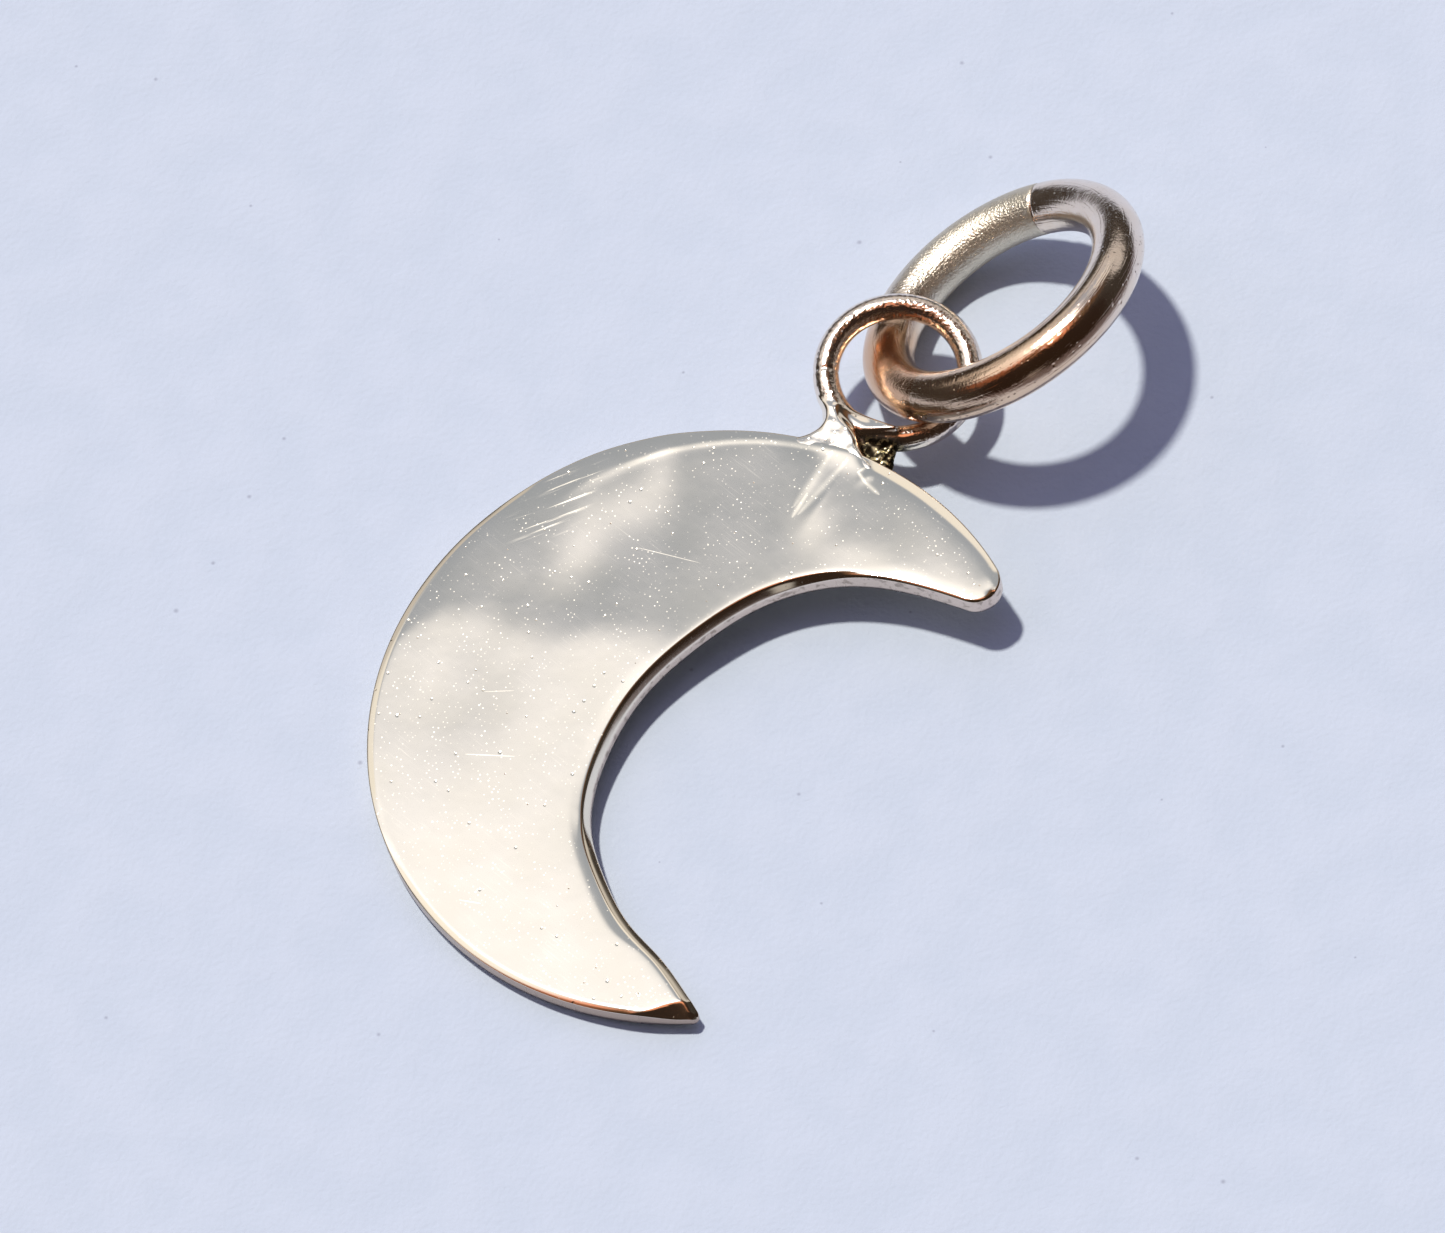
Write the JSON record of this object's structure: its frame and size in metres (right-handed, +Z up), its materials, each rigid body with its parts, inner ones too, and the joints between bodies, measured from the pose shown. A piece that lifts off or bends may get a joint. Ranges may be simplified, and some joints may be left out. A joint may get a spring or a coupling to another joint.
{
  "type": "crescent moon pendant",
  "caption": "Small flat gold crescent moon pendant lying face up, with a soldered wire loop on its back edge and a round jump ring threaded through the loop.",
  "frame": {"origin": "on the surface that the pendant lies on, under the middle of the whole pendant", "axes": "+Z up from that surface, +Y the way that the pendant hangs: from the middle of the crescent towards its loop"},
  "size_m": [0.0104, 0.0196, 0.0037],
  "materials": {
    "polished_gold": "polished pale gold, lightly scratched",
    "ring_gold": "drawn pale gold wire, lightly brushed"
  },
  "bodies": {
    "root": {"crescent": "polished_gold", "jump_ring": "ring_gold"}
  },
  "joints": []
}
